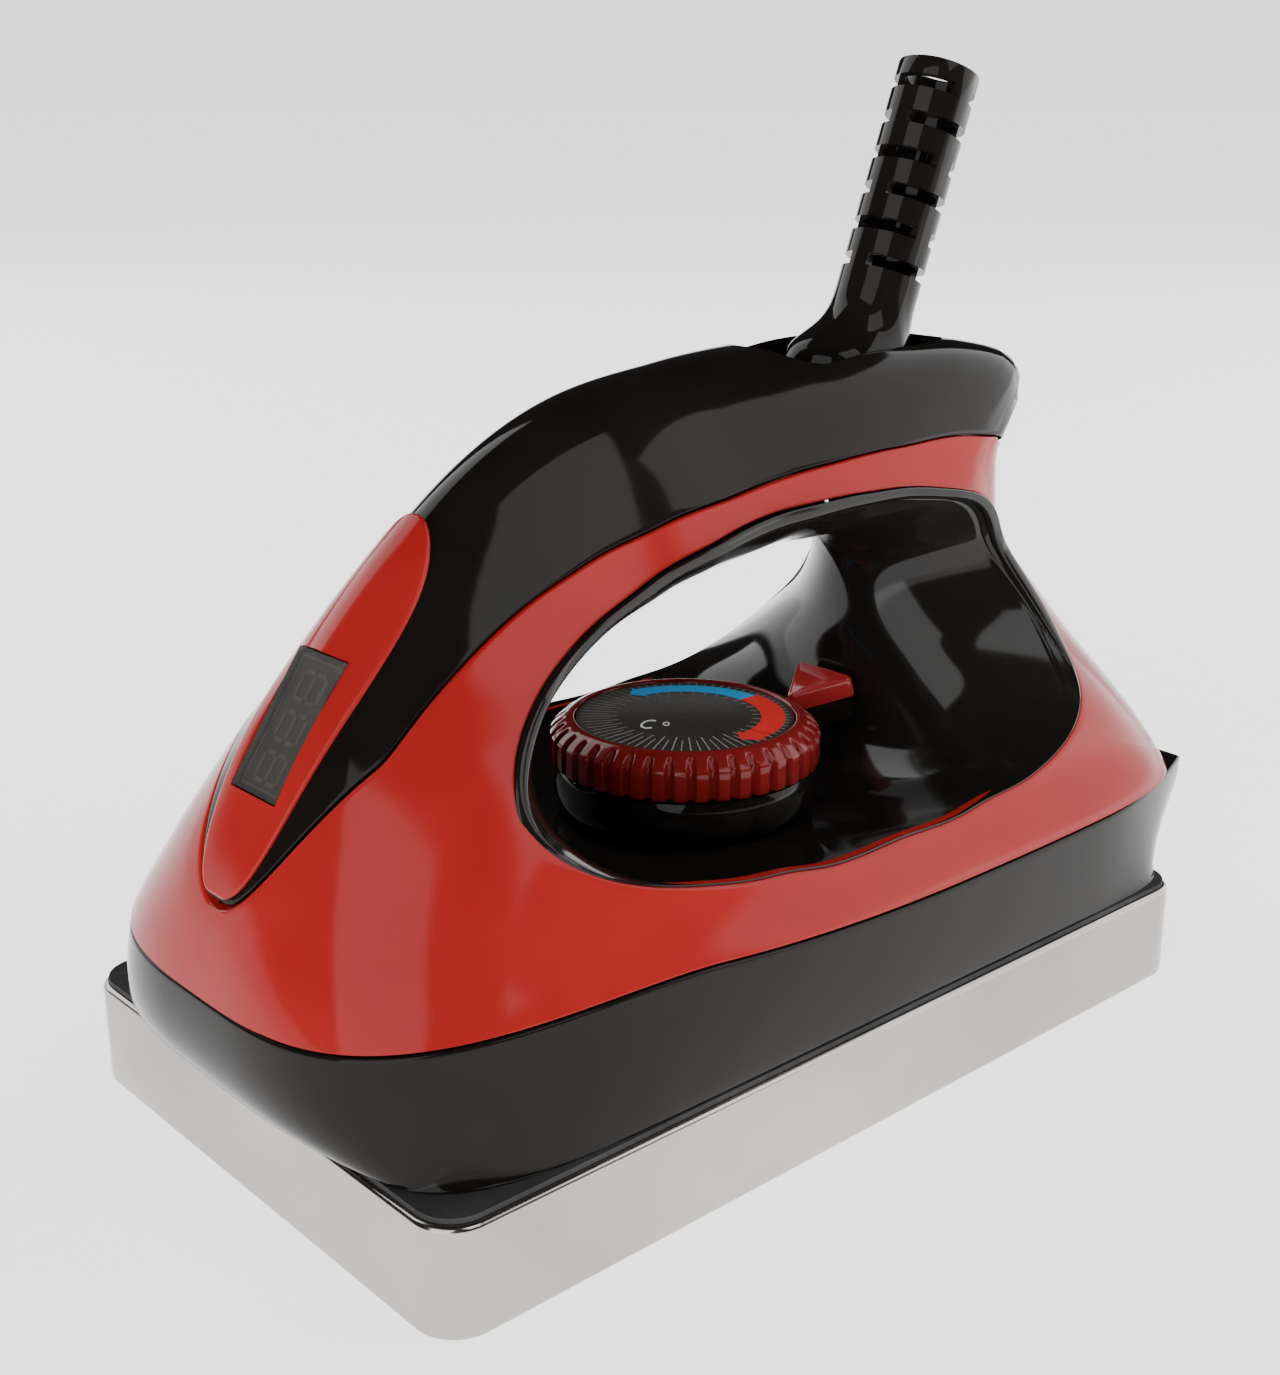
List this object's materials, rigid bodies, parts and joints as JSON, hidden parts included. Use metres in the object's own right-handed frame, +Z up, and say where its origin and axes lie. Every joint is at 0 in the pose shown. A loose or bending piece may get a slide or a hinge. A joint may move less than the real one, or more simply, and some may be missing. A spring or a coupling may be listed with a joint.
{
  "type": "waxing iron",
  "caption": "Electric waxing iron: thick rectangular sole, moulded body with a hand opening, temperature dial, tilted display and swivelling cord guard.",
  "frame": {"origin": "centre of the sole's underside", "axes": "+Z up through the handle, -Y towards the nose, +Y towards the heel and the cord guard"},
  "size_m": [0.0914, 0.1728, 0.1498],
  "materials": {
    "sole_aluminium": "satin",
    "element_steel": "satin",
    "contact_brass": "satin",
    "gasket_board": "matte",
    "chassis_steel": "matte",
    "screw_steel": "satin",
    "red_gloss": "gloss",
    "black_gloss": "gloss",
    "black_liner": "satin",
    "dial_red": "gloss",
    "dial_print": "satin",
    "lens_red": "gloss",
    "led_red": "gloss",
    "window_smoke": "gloss",
    "lcd_grey": "satin",
    "board_green": "satin",
    "chip_black": "matte",
    "pot_blue": "satin",
    "heatsink_aluminium": "satin",
    "sensor_ceramic": "matte",
    "wire_sleeve": "matte",
    "heater_sleeve": "matte"
  },
  "bodies": {
    "housing": {"base_plate": "sole_aluminium", "heating_element": "element_steel", "element_terminals": "contact_brass", "heat_gasket": "gasket_board", "chassis_frame": "chassis_steel", "plate_screws": "screw_steel", "lower_skirt": "black_gloss", "main_shell": "red_gloss", "handle_cover": "black_gloss", "rear_cover": "black_gloss", "rear_cover_screws": "screw_steel", "heel_tray": "black_liner", "grip_liner": "black_liner", "dial_pedestal": "black_gloss", "potentiometer": "pot_blue", "indicator_lens": "lens_red", "lens_holder": "black_gloss", "indicator_led": "led_red", "display_bezel": "red_gloss", "display_window": "window_smoke", "display_module": "lcd_grey", "display_board": "board_green", "control_board": "board_green", "board_standoffs": "screw_steel", "board_screws": "screw_steel", "power_triac": "chip_black", "triac_heatsink": "heatsink_aluminium", "filter_capacitor": "pot_blue", "temperature_sensor": "sensor_ceramic", "sensor_clip": "element_steel", "thermal_fuse": "sensor_ceramic", "guard_socket": "black_gloss", "cord_clamp": "chip_black", "clamp_screws": "screw_steel", "terminal_block": "sensor_ceramic", "mains_wires": "wire_sleeve", "heater_wires": "heater_sleeve", "ribbon_cable": "heater_sleeve", "ground_lug": "contact_brass"},
    "dial": {"dial_knob": "dial_red", "dial_face": "dial_print", "dial_shaft": "screw_steel", "shaft_clip": "screw_steel"},
    "guard": {"cord_guard": "black_gloss", "guard_pin": "screw_steel"}
  },
  "joints": [
    {"name": "dial_turn", "type": "hinge", "parent": "housing", "child": "dial", "pos_m": [0, 0.00375, 0.044], "axis": [0, 0, 1], "range_deg": [-135, 135]},
    {"name": "cord_guard_swivel", "type": "hinge", "parent": "housing", "child": "guard", "pos_m": [0, 0.04, 0.0995], "axis": [1, 0, 0], "range_deg": [-8, 35]}
  ]
}
